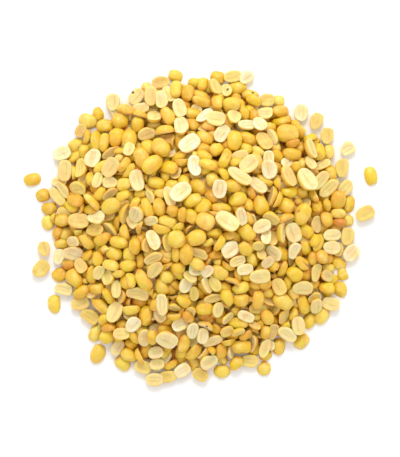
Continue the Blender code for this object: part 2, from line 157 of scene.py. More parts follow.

# Grains of the slopes and the top, read from above: the same, and tone from 0 deep to 9 pale as each looks
# from above, which holds painted shade on grains lying low as well as their own colour
TOP_GRAINS = (
    (106, 127, 17, 13, 5, D, 3), (119.5, 121, 18, 14, -40, D, 4), (127, 112, 19, 11, -20, D, 3),
    (141, 110, 17, 10, -10, F, 6), (140, 120, 14, 12, 45, D, 5), (132, 122, 8, 7, 30, C, 7),
    (117, 136, 19, 14, 80, D, 4), (129.5, 139, 21, 15, 80, D, 5), (86.5, 136, 15, 10, 80, D, 2),
    (96, 141, 22, 12, 100, D, 4), (104.5, 142, 19, 10, 75, D, 5), (84.5, 151, 12, 8, 90, D, 5),
    (112, 152, 20, 10, 38, E, 5), (152, 96, 19, 13, 75, F, 5), (169.5, 95, 17, 12, -60, F, 6),
    (177.5, 90, 19, 11, 92, D, 6), (186, 93, 17, 13, 90, D, 3), (200, 96, 19, 11, -30, D, 5),
    (213.5, 88, 16.5, 12.5, -60, F, 5), (205, 84.5, 11, 7, 80, D, 5), (224, 91, 15, 9, -70, F, 6),
    (217, 103, 15, 11.5, 85, D, 5), (200, 105, 20, 10, -25, E, 3), (177, 108, 18, 13, -80, F, 7),
    (160.5, 101.5, 17, 12, -75, F, 7), (167.5, 113.5, 20, 14, -60, D, 5), (192, 113, 18, 11, -25, D, 4),
    (205, 117.5, 19, 11, 48, F, 9), (217, 121, 18, 14, -10, F, 6), (155, 121.5, 17, 14, 65, F, 6),
    (143.5, 132, 18, 13, 30, F, 6), (165, 134, 20, 13, 15, D, 5), (182, 129, 23, 14, -80, F, 7),
    (192, 124, 14, 12, -45, D, 3), (192, 133, 9, 8, 0, C, 6), (204, 136.5, 18, 12, -15, D, 5),
    (207, 130, 14, 9, -10, D, 3), (221, 135, 20, 13.5, 55, F, 8), (188, 145, 22, 16, 30, F, 9),
    (203, 149, 16, 13, -30, D, 4), (218, 146, 14, 9, -20, D, 5), (214, 153, 14, 12, 30, D, 5),
    (226, 154, 13, 9, 60, D, 4), (148.5, 149, 18, 14, -60, D, 5), (163, 149, 21, 16, -25, W, 5),
    (175, 144.5, 8, 6, 45, C, 3), (194, 155, 11, 9, -60, C, 9), (231, 105, 20, 15, -5, D, 6),
    (233.5, 119, 18, 14, 70, F, 6), (253, 104.5, 16, 10, -12, E, 4), (244.5, 112, 17, 9.5, -72, D, 4),
    (253.5, 115.5, 11, 8, 90, D, 2), (265, 114, 15, 13, -5, F, 6), (280, 112, 17, 12, 10, D, 4),
    (281, 122.5, 20, 11, 12, D, 4), (297, 129, 20, 10, -62, D, 3), (286, 134.5, 22, 17.5, -5, W, 5),
    (247, 126.5, 20, 11, 10, F, 8), (258.5, 128.5, 14, 13, -45, F, 9), (269, 127, 10, 9, 0, D, 3),
    (247, 139, 21, 12, -25, D, 3), (265, 142.5, 19, 14, -50, F, 3), (233.5, 141.5, 20, 14.5, 78, D, 5),
    (245.5, 149, 15, 11, -30, D, 4), (258.5, 151.5, 14, 10, -30, D, 8), (239, 156, 17, 14, 15, F, 6),
    (270, 158, 18, 11, 90, F, 8), (275, 147.5, 12, 9, -40, D, 6), (273, 138, 16, 6, -55, E, 8),
    (278, 155, 9, 7, -60, D, 3), (291, 151.5, 19, 12, -10, D, 4), (293, 144.5, 14, 7, 0, D, 3),
    (73.5, 173, 14, 5, 90, E, 6), (82, 169, 20, 14, -80, F, 4), (93.5, 160.5, 18.5, 15, 75, F, 8),
    (63.5, 188.5, 19, 9.5, -55, F, 6), (81, 185.5, 20, 14, 5, F, 5), (94.5, 179, 13, 9, -60, D, 4),
    (95.5, 190, 11, 10, 0, D, 3), (101, 168, 18, 10, 40, D, 5), (113, 167, 20, 15, 45, F, 5),
    (119, 161, 12, 9, 40, D, 8), (102, 181, 15, 9, 75, F, 6), (110.5, 182.5, 12.5, 12, 0, F, 6),
    (122, 183.5, 15, 13, 20, D, 6), (101.5, 193, 16, 8, 42, D, 5), (110, 195, 17, 7, 25, E, 5),
    (92, 198, 21, 10, -32, E, 6), (122.5, 197, 17, 11, 8, D, 5), (79, 201, 19, 14, -35, D, 3),
    (71, 209.5, 18, 11, -30, D, 4), (107.5, 206.5, 22, 15, 28, D, 6), (88, 210.5, 14, 9, -30, D, 3),
    (122, 213, 20, 13, 80, F, 4), (62, 219.5, 16, 12, 5, D, 4), (56, 213, 9, 6, 20, C, 5),
    (80, 220.5, 20.5, 15, -12, F, 4), (97.5, 219, 16.5, 14.5, -12, F, 8), (113.5, 225, 19, 12, -50, F, 6),
    (56, 233, 10, 7, 60, D, 2), (95.5, 231.5, 18, 13, -5, F, 2), (79, 232, 12, 8, 70, C, 7),
    (104, 238, 18, 13, 20, D, 4), (132, 154, 13, 8, 80, F, 6), (142, 158, 22, 15, -65, D, 5),
    (125.5, 155, 11, 8, 0, D, 3), (126, 168, 17, 6, 65, E, 5), (130, 171, 18, 5, 50, E, 5),
    (137, 179.5, 21, 14, 87, F, 7), (153.5, 168.5, 21, 16, 40, W, 5), (155, 158.5, 10, 9, 0, D, 6),
    (171, 172.5, 17, 14, -60, D, 4), (165, 175, 12, 10, 80, D, 2), (180, 160, 18, 9, 12, D, 4),
    (181, 167, 12, 8, 10, F, 5), (187.5, 171.5, 9, 8, 0, C, 5), (196, 168, 21, 13, 88, F, 9),
    (206, 160, 16, 11, -35, D, 4), (206, 167.5, 13, 10, 30, D, 4), (158.5, 184, 17, 12, -10, D, 4),
    (171.5, 186, 13, 9, 0, D, 6), (183, 182, 14, 9, -70, D, 5), (197, 186, 18, 15, -40, D, 4),
    (148.5, 182, 8, 5, -45, C, 6), (140, 195, 12, 9, 0, D, 5), (150.5, 196, 13, 8, -60, F, 7),
    (160, 194, 12, 10, 0, D, 6), (159, 207.5, 18, 12.5, -78, D, 4), (169.5, 200, 20, 11.5, -75, F, 7),
    (182, 197, 22, 17, 50, F, 8), (191, 200.5, 18, 13, 15, D, 5), (203, 205, 17, 14, 30, D, 4),
    (132, 203, 14, 10, 60, D, 5), (147, 207, 20, 12, -60, D, 5), (141, 211, 19, 15, 75, F, 7),
    (131, 220.5, 15, 12, -45, F, 6), (152, 220.5, 15, 8, 12, F, 7), (168.5, 222, 19, 12, -25, D, 6),
    (173.5, 214.5, 14, 11, -40, D, 3), (190.5, 217, 15, 13.5, -40, D, 3), (183.5, 216, 15, 8, 80, D, 3),
    (206, 221.5, 17, 16, -20, D, 6), (159, 228.5, 18, 12, -10, D, 5), (143.5, 228.5, 13, 10, 60, D, 3),
    (126, 232, 17, 11, -75, D, 3), (152, 240, 20, 12, -70, F, 8), (178, 227.5, 14, 10, 60, D, 5),
    (178, 237, 17, 17, 0, W, 6), (193, 228, 11, 8, 0, D, 5), (196.5, 238, 18.5, 15, 20, D, 5),
    (224, 160, 18, 8, 70, D, 4), (235, 163, 13, 9, 0, D, 4), (246, 168, 19, 15, 40, F, 6),
    (254, 162, 18, 9, -80, D, 6), (268, 169, 17, 15, -60, F, 8), (210, 166.5, 18, 11, -20, D, 5),
    (228.5, 168, 7, 6, 0, C, 6), (212, 176, 14, 13, -70, D, 6), (222, 175, 14, 9, -60, D, 4),
    (238, 177, 26, 12, -35, F, 6), (233, 184, 17, 13, 0, D, 4), (219, 189, 18, 14, 80, F, 8),
    (258, 186, 20, 13, -30, F, 7), (266, 181, 18, 9, -45, E, 5), (283, 177, 22, 16, -60, F, 5),
    (275, 185, 15, 7, 75, E, 5), (286, 164, 13, 9, 35, F, 9), (257, 168, 12, 10, 0, D, 3),
    (238, 201, 18, 14, 20, D, 5), (231, 196, 8, 6, 30, C, 6), (251, 195, 12, 7, -60, E, 3),
    (262, 204, 20, 15, -70, D, 4), (269, 198, 20, 8, 80, D, 5), (275, 199, 17, 7, 85, D, 4),
    (287, 205, 17, 14, -40, D, 5), (287, 192, 17, 11, 0, D, 4), (212, 198, 14, 8, -50, D, 2),
    (221, 207, 20, 10, 0, D, 5), (213, 213.5, 11, 9, 0, D, 4), (227, 223, 24, 17, -33, F, 7),
    (239, 216, 18, 12, -65, F, 7), (251, 217, 14, 9, -60, D, 4), (251, 206, 10, 7, -70, D, 5),
    (268, 216, 15, 13, -40, F, 5), (263, 225, 18, 13, 30, F, 8), (283.5, 218, 17, 6, 0, E, 4),
    (250, 231, 20, 14, -50, D, 5), (214, 234, 17, 10, 0, D, 4), (229, 236.5, 13, 8, 0, D, 3),
    (306.5, 150.5, 20, 13.5, -65, F, 6), (319.5, 152.5, 17, 13, -75, D, 5), (330, 151.5, 14, 8, 90, D, 7),
    (311, 143, 15, 8, 15, D, 5), (310, 163.5, 14, 9, -55, F, 6), (324, 164, 18, 8, 20, F, 6),
    (321, 178, 21, 12, 48, F, 6), (305, 182, 24, 19, -55, F, 7), (293, 169, 14, 11, -70, D, 4),
    (299, 165, 12, 9, -60, D, 6), (329, 187, 22, 13, 40, F, 5), (336, 199, 20, 15, 80, D, 4),
    (325, 203, 18, 9, -55, D, 4), (338.5, 213, 15, 9, 0, D, 7), (299.5, 193, 9, 8, 0, D, 3),
    (311, 203, 20, 9, -65, F, 6), (301, 211.5, 22, 15, 70, W, 5), (279, 210, 9, 6, 0, C, 5),
    (297, 201.5, 7, 5, 0, C, 5), (318, 207, 12, 8, -70, D, 2), (332, 173, 12, 9, -70, D, 4),
    (278, 231.5, 20, 12, 85, F, 6), (292, 231, 20, 15, -70, F, 7), (306, 231.5, 17, 13, -40, D, 4),
    (304.5, 245, 17, 9, -75, D, 5), (295, 249, 17, 11.5, 85, F, 8), (278, 252, 18, 14, -40, F, 8),
    (316, 244, 22, 9, 70, D, 4), (311, 241, 14, 6, 80, E, 4), (330, 235, 20, 12, 0, F, 7),
    (330, 247, 19, 13, -5, F, 7), (326, 219, 17, 15, 0, D, 5), (340, 222, 12, 8, 0, D, 1),
    (322, 257.5, 16, 14, 0, D, 3), (313, 258, 12, 8, 70, D, 3), (328, 267.5, 16, 10, -15, D, 7),
    (325, 275.5, 16, 11, -20, F, 5), (304, 260.5, 16, 8, -35, E, 4), (300, 267.5, 16, 7, -30, E, 5),
    (294, 273, 17, 14, -40, D, 4), (283, 270, 18, 10, 70, D, 4), (273.5, 265.5, 14, 11, -80, D, 3),
    (312, 273, 18, 11, 80, F, 5), (304, 274, 10, 8, 0, D, 1), (276.5, 286, 15, 13, -60, F, 4),
    (286, 282, 11, 9, 70, D, 4), (302, 285.5, 20, 14.5, 5, F, 6), (293, 293, 14, 9, -55, D, 7),
    (315, 284.5, 13, 10, 0, D, 3), (327, 289, 16, 13, 0, D, 4), (315, 296, 12, 12, 0, F, 5),
    (273, 276, 9, 8, 0, C, 3), (209, 243, 12, 5, 5, C, 6), (218, 245, 17, 8, 50, D, 4),
    (229.5, 250, 19, 15, 25, F, 9), (243, 248, 16, 12, -50, D, 5), (254.5, 245, 11, 7, -10, F, 5),
    (266, 239, 18, 10, 60, F, 9), (199, 251, 19, 11, 0, F, 5), (196, 259.5, 18, 11, -10, D, 6),
    (207, 266, 12, 8, 50, F, 8), (213, 256, 15, 8, 5, D, 3), (215, 261.5, 9, 5, 0, C, 5),
    (232, 261.5, 17, 10, 10, F, 6), (227.5, 266.5, 15, 6, -35, E, 4), (242.5, 268, 17, 9, 10, F, 8),
    (254, 259, 16, 11, -75, D, 5), (260, 256, 14, 6, -70, F, 5), (219, 273, 19, 13, -30, D, 6),
    (195, 270.5, 14, 13, 0, F, 8), (235, 277, 14, 9, -15, F, 5), (241, 287.5, 18, 12, 20, D, 6),
    (261, 274.5, 20, 14, -5, F, 6), (266.5, 265, 14, 6, 80, F, 7), (247, 276, 12, 8, 0, D, 3),
    (204, 286.5, 17, 11, -75, F, 7), (216, 282.5, 15, 11, -50, F, 4), (214, 296, 20, 9, 8, F, 5),
    (195, 291, 15, 9, -75, F, 4), (227, 295, 18, 12, -65, D, 5), (256, 298.5, 19, 14, -80, D, 5),
    (241, 300, 16, 14, 0, D, 4), (256, 285, 11, 8, 0, D, 4), (266, 285, 10, 7, 0, D, 3),
    (268, 294, 12, 9, -20, D, 5), (268, 304.5, 11, 10, 0, F, 3), (204, 307.5, 15, 14, 0, D, 5),
    (216, 308, 15, 12, 70, F, 6), (224, 303.5, 11, 7, -60, F, 4), (233, 308, 11, 9, -60, D, 4),
    (226, 316, 14, 10, 45, F, 7), (245, 315, 18, 10, -5, F, 8), (257, 311, 18, 7, 0, F, 3),
    (266.5, 317, 17, 12, -60, D, 5), (119, 244.5, 21, 12, -5, D, 5), (138, 247, 16, 13, 90, D, 3),
    (165, 243, 17, 9, -60, F, 4), (147.5, 246, 10, 6, -70, E, 4), (153, 256, 20, 9, 25, F, 6),
    (165, 257, 10, 5, 30, C, 3), (129, 254, 13, 12, 90, D, 6), (128, 265, 16, 12, 0, D, 5),
    (115, 258, 19, 13, -15, F, 7), (140, 263, 14, 10, 75, D, 3), (155, 267.5, 20, 12, 50, F, 5),
    (166, 262.5, 12, 8, 30, D, 3), (172.5, 253, 16, 8, 90, D, 5), (183, 254, 21, 15, 70, D, 4),
    (176.5, 267.5, 13, 12, 20, D, 4), (167, 274, 13, 13, -40, D, 6), (144, 278, 23, 15, -35, D, 5),
    (163, 286, 17, 13, -75, D, 4), (185, 283.5, 15, 13, 60, F, 9), (190, 276, 14, 8, -50, F, 6),
    (175, 283, 12, 6, -45, E, 3), (129, 281.5, 15, 11, 90, D, 6), (138, 292, 22, 13, -15, F, 5),
    (120, 292, 17, 10, 85, F, 6), (109, 277, 20, 14, -60, F, 5), (122.5, 271, 13, 8, -10, D, 6),
    (152, 289, 9, 6, 0, C, 5), (156, 294, 9, 5, 0, C, 3), (148, 301, 9, 7, -80, C, 4),
    (156, 304, 15, 11, 80, D, 4), (167, 304, 21, 13, 85, F, 7), (130, 308.5, 16, 15, 0, D, 6),
    (126.5, 299, 12, 7, 60, F, 3), (139, 302, 12, 8, 0, D, 2), (146, 316, 20, 13, 85, D, 4),
    (184, 301.5, 17, 9, -40, D, 5), (176, 305, 12, 7, -60, F, 6), (176, 314, 13, 6, 0, E, 4),
    (161, 316, 14, 9, -45, F, 6), (187, 314, 14, 9, -60, D, 2), (174, 294, 8, 6, 0, C, 3),
    (194, 310, 15, 10, 75, F, 5), (86.5, 241.5, 19, 11, -55, D, 6), (77, 244.5, 15, 7, -30, F, 7),
    (73.5, 254.5, 22, 15, -20, F, 8), (91, 254.5, 14, 10, 70, D, 4), (98.5, 260, 13, 7, 80, D, 4),
    (101.5, 250, 7, 6, 0, C, 3), (107, 249.5, 10, 5, 0, C, 6), (69, 264, 12, 9, 0, D, 2),
    (83.5, 267, 16, 12, -60, F, 4), (74, 278, 20, 16, -60, D, 5), (93, 274, 18, 11, 75, D, 3),
    (98, 272, 13, 9, 60, F, 6), (84, 279, 8, 7, 0, C, 6), (80, 290.5, 18, 11, 30, D, 4),
    (97, 289, 16, 11, 10, D, 4), (110, 295, 17, 10, -70, D, 3), (99, 307, 20, 12, -40, D, 4),
    (114, 312, 21, 15, 60, F, 6), (103, 319, 11, 8, 60, D, 5), (106.5, 335.5, 14, 14, 40, D, 5),
    (108, 325.5, 14, 6, 0, D, 2), (132, 321.5, 14, 14, 70, F, 9), (121, 326, 11, 10, 0, D, 3),
    (122, 334, 16, 12, 5, F, 5), (134, 336, 17, 9, -60, D, 5), (144, 336, 20, 12, 80, F, 6),
    (153, 335.5, 17, 8, 80, D, 4), (130, 344.5, 12, 9, 0, D, 3), (129, 356, 18, 12, -50, D, 5),
    (143, 354.5, 16, 10, -40, D, 5), (156, 353.5, 15, 12, 0, F, 7), (157, 365.5, 12, 11, 0, F, 6),
    (166, 335.5, 22, 17, -40, F, 7), (165, 345, 20, 7, -20, E, 5), (180.5, 325.5, 17, 13, 20, F, 9),
    (191.5, 329.5, 18, 12, 85, F, 8), (208, 323, 16, 14, 40, F, 7), (200, 333, 16, 6, -70, F, 7),
    (183, 344, 19, 12, 75, D, 5), (194, 351.5, 20, 14, 60, D, 5), (171, 363.5, 15, 10, 20, D, 4),
    (207, 361, 18, 14, 30, F, 7), (210, 349, 9, 7, 0, D, 2), (220, 350.5, 17, 12, 90, D, 4),
    (229, 351, 15, 7, 85, F, 8), (213, 339.5, 20, 10, 12, F, 6), (218, 329.5, 13, 12, 45, D, 3),
    (227, 330.5, 10, 8, 0, F, 4), (238, 323.5, 20, 8, -10, D, 5), (237, 332, 11, 6, 10, F, 3),
    (241, 345.5, 18, 15, 0, D, 4), (229, 339, 11, 8, 0, D, 2), (236, 363, 16, 11, 75, D, 4),
    (255, 344, 19, 11, 80, F, 6), (266, 348.5, 19, 10, 70, F, 6), (264, 332, 14, 9, 85, D, 4),
    (272, 331, 17, 9, 75, F, 4), (281.5, 314.5, 15, 12, 60, F, 4), (285, 325, 12, 7, 0, C, 5),
    (288, 334, 20, 12, -30, F, 7), (298, 326.5, 18, 13, -80, F, 6), (293, 314, 14, 8, 60, D, 4),
    (314, 300, 19, 12, 85, F, 6), (301.5, 303, 21, 12, -75, D, 4), (282, 300, 21, 15, -25, D, 6),
    (255, 323, 12, 6, 0, D, 2), (255, 330, 9, 6, 0, F, 2), (256, 317, 8, 6, 0, C, 4),
    (246, 333, 12, 9, 20, D, 2),
)

# Grains that lie apart, as those of the rim
STRAYS = (
    (32.2, 179.6, 17.5, 12.5, 12, D), (44.7, 248.6, 15, 12, 105, F), (41.1, 268.5, 19, 14.5, 45, F),
    (54.7, 304.2, 18.5, 12.8, 95, D), (97.8, 354, 20, 14.5, 65, D), (315.9, 121.5, 17, 12.8, 70, F),
    (347.5, 149.6, 15, 13.5, 30, F), (370.6, 176.2, 19, 12.8, 102, D), (364.7, 213.8, 19.5, 14, 27, F),
)

# Dark spots where the bean was attached, seen on a few grains: x and y in pixels
SPOTS = ((134, 94), (226.5, 89), (253.5, 91), (208, 327))

# Colours in sRGB from 0 to 255: of tan and of lemon yellow grains from deep to pale, the deep end also
# painted shade for grains lying low, then the patches on each side, the scar of whole beans and the painted
# shade in the grooves of split faces, the pale patches on both, and the spots
TAN_DOME = ((0.0, (200, 112, 26)), (0.5, (230, 181, 58)), (1.0, (240, 212, 128)))
LEMON_DOME = ((0.0, (214, 160, 14)), (0.5, (233, 200, 40)), (1.0, (240, 220, 112)))
TAN_FACE = ((0.0, (208, 146, 82)), (0.5, (229, 195, 120)), (1.0, (246, 234, 204)))
LEMON_FACE = ((0.0, (214, 170, 66)), (0.5, (232, 206, 106)), (1.0, (246, 236, 192)))
DOME_LEMON = (222, 204, 50)
DOME_PEACH = (228, 162, 66)
DOME_GROOVE = (150, 100, 40)
FACE_LEMON = (234, 220, 124)
FACE_PEACH = (236, 186, 116)
# Painted shade: the tan colour of the grooves, germ dent and hollow of a split face
FACE_GROOVE_SHADE = (196, 164, 76)
PALE = (248, 226, 140)
SPOT = (104, 78, 42)
# Painted shade: the core that shows between the grains is coloured reddish brown, as grains in shade
SHADED_CORE = ((0.3, (176, 100, 40)), (0.7, (220, 152, 70)))


def from_pixels(x_px, y_px):
    """A point of the view from above, in millimetres."""
    return (x_px - MIDDLE_PX[0]) * PIXEL, (MIDDLE_PX[1] - y_px) * PIXEL


def outline_radius(angle):
    position = (angle / (2 * math.pi)) % 1 * len(OUTLINE_PX)
    before = int(position) % len(OUTLINE_PX)
    after = (before + 1) % len(OUTLINE_PX)
    share = (1 - math.cos(math.pi * (position % 1))) / 2
    return (OUTLINE_PX[before] * (1 - share) + OUTLINE_PX[after] * share) * PIXEL


def heap_height(x, y):
    reach = min(1, math.hypot(x, y) / outline_radius(math.atan2(y, x)))
    return HEAP_HEIGHT * (1 - reach**PROFILE_FLATNESS) ** PROFILE_SPREAD


def seen_at(x_px, y_px):
    """Where on the heap a point of the view from above lies, in millimetres."""
    x, y = from_pixels(x_px, y_px)
    nearer = 1 - heap_height(x, y) / CAMERA_HEIGHT
    return x * nearer, y * nearer


# One shape of grain: its sort, its fine mesh as corners and faces, marks per corner, and a coarse hull
Kind = namedtuple("Kind", "sort corners faces marks hull")


def outline_width(u, shape):
    """Share of the width at u from -1 to 1, with one end blunter than the other."""
    power = shape["tail"] if u < 0 else shape["head"]
    return (1 - abs(u) ** power) ** (1 / power) * (1 + shape["taper"] * u)


def face_height(u, v, tall, shape):
    """Height of the split face at v from -1 to 1 across, and how much painted shade it gets in its groove,
    germ dent and hollow.
    """
    inner = max(0.0, 1 - (u / 0.86) ** 2)
    middle = max(0.0, 1 - (v / 0.8) ** 2)
    side_rim = 0.28 * tall * max(0.0, (abs(v) - 0.74) / 0.26) ** 2
    end_rim = 0.1 * max(0.0, (abs(u) - 0.84) / 0.16) ** 2
    dip = shape["hollow"] * middle * inner
    strength = 1.0 if v > 0 else shape["second"]
    line = strength * math.exp(-((abs(v) - shape["groove_at"]) / 0.1) ** 2) * inner**0.9
    germ = shape["germ"] * math.exp(-((u - 0.62) / 0.2) ** 2 - (v / 0.35) ** 2)
    height = side_rim + end_rim + dip + shape["groove"] * line + germ
    # The second value is painted shade in the groove, the germ dent and the hollow middle
    return height, min(1.0, line + 3 * germ + 0.12 * middle * inner)


def half_section(u, shape, across, dome_points):
    """One loop round a half bean at u: the split face from side to side, then back over the dome."""
    wide = outline_width(u, shape)
    tall = (1 - abs(u) ** 2.2) ** (1 / 2.2)
    bend = shape["bend"] * (1 - u * u)
    x, half_width = u * shape["length"] / 2, shape["width"] / 2
    dome = shape["thickness"] - shape["edge"]
    points = []
    for v in across:
        z, groove = face_height(u, v, tall, shape)
        cut = min(1.0, (1.03 - abs(v)) / 0.14)
        # Painted shade marks of the face: in its groove, germ dent and hollow, and at its outer rim
        points.append((x, (v * wide + bend) * half_width, z, cut, groove, max(0.0, abs(v) - 0.88) * 4))
    for i in range(dome_points):
        t = math.pi * (i + 0.75) / (dome_points + 0.5)
        lump = 1 + shape["lumps"] * math.sin(3 * t + 4 * u + shape["phase"]) * math.sin(t)
        z = shape["edge"] * tall**0.5 + dome * tall * math.sin(t) ** 0.92 * lump
        # Painted shade: the dome gets the edge mark towards its lower side, near the split face
        edge = max(0.0, 1 - 1.5 * z / shape["thickness"])
        points.append((x, (math.cos(t) * wide + bend) * half_width, z, 0.0, 0.0, edge))
    return points


def ring_faces(rings, tips):
    """Faces from ring to ring, with a fan at each tip."""
    faces = []
    count = len(rings[0])
    for near, far in zip(rings, rings[1:]):
        for i in range(count):
            j = (i + 1) % count
            faces.append((near[i], near[j], far[j], far[i]))
    for i in range(count):
        j = (i + 1) % count
        faces.append((tips[0], rings[0][j], rings[0][i]))
        faces.append((tips[1], rings[-1][i], rings[-1][j]))
    return faces


def half_bean(shape, stations, across, dome_points):
    """Corners, faces and marks of half a bean, with its split face towards -Z."""
    sides = sorted(set(across) | {-v for v in across} | {0.0})
    corners, marks, loops = [], [], []
    for k in range(1, stations):
        u = -math.cos(math.pi * k / stations) * 0.998
        loop = half_section(u, shape, sides, dome_points)
        loops.append(list(range(len(corners), len(corners) + len(loop))))
        corners += [Vector(point[:3]) for point in loop]
        marks += [point[3:] for point in loop]
    tips = (len(corners), len(corners) + 1)
    for end in (-1, 1):
        corners.append(Vector((end * shape["length"] / 2, 0, shape["edge"] * 0.6)))
        # The tips get much of the edge mark: painted shade at the ends, partly their own warmer colour
        marks.append((0.3, 0.0, 0.7))
    return corners, ring_faces(loops, tips), marks


def dent_planes(draw, count, least, most):
    """Directions of the dome and depths in millimetres at which a shape is pressed flat."""
    planes = []
    for _ in range(count):
        side = Vector((draw.uniform(-1, 1), draw.uniform(-1, 1), draw.uniform(0.15, 1.1))).normalized()
        planes.append((side, draw.uniform(least, most)))
    return planes


def dented(corners, planes):
    """The corners with soft flats pressed into them."""
    pressed = [corner.copy() for corner in corners]
    for side, depth in planes:
        reach = max(corner.dot(side) for corner in pressed) - depth
        for corner in pressed:
            over = corner.dot(side) - reach
            if over > 0:
                corner -= side * over * 0.85
    return pressed


def centred(corners, middle):
    return [corner - middle for corner in corners]


def make_half(draw, long=1.0, broad=1.0, thick=1.0):
    shape = {
        "length": LENGTH * long,
        "width": WIDTH * broad,
        "thickness": THICKNESS * thick,
        "tail": draw.uniform(1.95, 2.8),
        "head": draw.uniform(2.2, 3.1),
        "taper": draw.uniform(-0.03, 0.10),
        "bend": draw.uniform(-0.12, 0.12),
        "hollow": draw.uniform(0.08, 0.26),
        "groove": draw.uniform(0.03, 0.14),
        "groove_at": draw.uniform(0.14, 0.34),
        "second": draw.choice((0.0, 0.3, 0.6, 1.0)),
        "germ": draw.uniform(0.0, 0.14),
        "edge": draw.uniform(0.16, 0.26),
        "lumps": draw.uniform(0.01, 0.06),
        "phase": draw.uniform(0, 6.28),
    }
    line = shape["groove_at"]
    across = (0.975, 0.90, 0.78, 0.62, line + 0.10, line, line - 0.10)
    corners, faces, marks = half_bean(shape, 15, across, 9)
    coarse, _, _ = half_bean(shape, 6, (0.93,), 4)
    planes = dent_planes(draw, 6, 0.08, 0.36)
    middle = Vector((0, 0, shape["thickness"] * 0.40))
    corners, coarse = (centred(dented(points, planes), middle) for points in (corners, coarse))
    return Kind("half", corners, faces, marks, coarse)


def make_whole(draw, long=1.0, broad=1.0):
    """A bean that never split: two halves back to back with a faint seam."""
    length, width, tall = LENGTH * long, WIDTH * broad, WIDTH * broad * 0.92
    corners, rings = [], []
    stations, around = 15, 20
    phase = draw.uniform(0, 6.28)

    def point(u, t):
        wide = (1 - abs(u) ** 2.35) ** (1 / 2.35)
        seam = 1 - 0.03 * math.exp(-((math.sin(t)) / 0.12) ** 2)
        lump = 1 + 0.02 * math.sin(2 * t + 3 * u + phase)
        y = (math.cos(t) * wide * seam * lump + 0.06 * (1 - u * u)) * width / 2
        return Vector((u * length / 2, y, math.sin(t) * wide * tall / 2 * lump))

    for k in range(1, stations):
        u = -math.cos(math.pi * k / stations) * 0.998
        rings.append(list(range(len(corners), len(corners) + around)))
        corners += [point(u, 2 * math.pi * i / around) for i in range(around)]
    tips = (len(corners), len(corners) + 1)
    corners += [Vector((-length / 2, 0, 0)), Vector((length / 2, 0, 0))]
    faces = [(face[0], *reversed(face[1:])) for face in ring_faces(rings, tips)]
    hull = [point(-math.cos(math.pi * k / 6), 2 * math.pi * i / 8) for k in range(1, 6) for i in range(8)]
    hull += corners[-2:]
    marks = []
    for corner in corners:
        off_scar = ((corner.x / length - 0.06) / 0.09) ** 2 + (corner.z / 0.4) ** 2
        marks.append((0.0, math.exp(-off_scar) if corner.y > 0 else 0.0, 0.2))
    planes = dent_planes(draw, 3, 0.05, 0.2)
    return Kind("whole", dented(corners, planes), faces, marks, dented(hull, planes))


def make_chip(draw, share, slant):
    """A half bean with an end broken off."""
    whole = make_half(draw, draw.uniform(0.9, 1.05), draw.uniform(0.9, 1.0), draw.uniform(0.85, 1.0))
    bm = bmesh.new()
    layers = [bm.verts.layers.float.new(label) for label in MARKS]
    for corner, marks in zip(whole.corners, whole.marks):
        vert = bm.verts.new(corner)
        for layer, mark in zip(layers, marks):
            vert[layer] = mark
    bm.verts.ensure_lookup_table()
    for face in whole.faces:
        bm.faces.new([bm.verts[i] for i in face])
    normal = Vector((math.cos(slant), math.sin(slant), draw.uniform(-0.3, 0.3))).normalized()
    geometry = bm.verts[:] + bm.edges[:] + bm.faces[:]
    cut = bmesh.ops.bisect_plane(
        bm, geom=geometry, plane_co=normal * share * LENGTH / 2, plane_no=normal, clear_outer=True
    )
    rim = [item for item in cut["geom_cut"] if isinstance(item, bmesh.types.BMEdge)]
    bmesh.ops.holes_fill(bm, edges=rim, sides=0)
    bmesh.ops.recalc_face_normals(bm, faces=bm.faces[:])
    bm.verts.index_update()
    middle = sum((v.co for v in bm.verts), Vector()) / len(bm.verts)
    corners = [v.co - middle for v in bm.verts]
    faces = [tuple(v.index for v in face.verts) for face in bm.faces]
    marks = [tuple(v[layer] for layer in layers) for v in bm.verts]
    bm.free()
    hull = corners[:: max(1, len(corners) // 40)]
    return Kind("chip", corners, faces, marks, hull)


def scaled(kind, along, across, up):
    """The same shape at another size, with a hull to match."""
    def fit(points):
        return [Vector((p.x * along, p.y * across, p.z * up)) for p in points]
    return Kind(kind.sort, fit(kind.corners), kind.faces, kind.marks, fit(kind.hull))


def resized(kind, length, width):
    """The same shape at the given length and width."""
    long = max(c.x for c in kind.corners) - min(c.x for c in kind.corners)
    broad = max(c.y for c in kind.corners) - min(c.y for c in kind.corners)
    along, across = length / long, width / broad
    return scaled(kind, along, across, math.sqrt(along * across))


def mesh_from(name, corners, faces):
    mesh = bpy.data.meshes.new(name)
    mesh.from_pydata([tuple(c) for c in corners], [], faces)
    mesh.update()
    return mesh


def hull_mesh(name, points):
    bm = bmesh.new()
    for point in points:
        bm.verts.new(point)
    bmesh.ops.convex_hull(bm, input=bm.verts[:])
    mesh = bpy.data.meshes.new(name)
    bm.to_mesh(mesh)
    bm.free()
    return mesh


def core_mesh(name, depth, inset, lowest_top):
    """A mound under the loose grains, in millimetres, down to the floor at its edge."""
    rings, sides = 14, 64
    corners, faces = [Vector((0, 0, heap_height(0, 0) - depth))], []
    for r in range(1, rings + 1):
        for i in range(sides):
            angle = 2 * math.pi * i / sides
            reach = (outline_radius(angle) - inset) * r / rings
            x, y = reach * math.cos(angle), reach * math.sin(angle)
            top = max(lowest_top, heap_height(x, y) - depth) if r < rings else 0
            corners.append(Vector((x, y, top)))
    for i in range(sides):
        faces.append((0, 1 + i, 1 + (i + 1) % sides))
    for r in range(1, rings):
        near, far = 1 + (r - 1) * sides, 1 + r * sides
        for i in range(sides):
            j = (i + 1) % sides
            faces.append((near + i, far + i, far + j, near + j))
    faces.append(tuple(reversed(range(1 + (rings - 1) * sides, 1 + rings * sides))))
    return mesh_from(name, corners, faces)


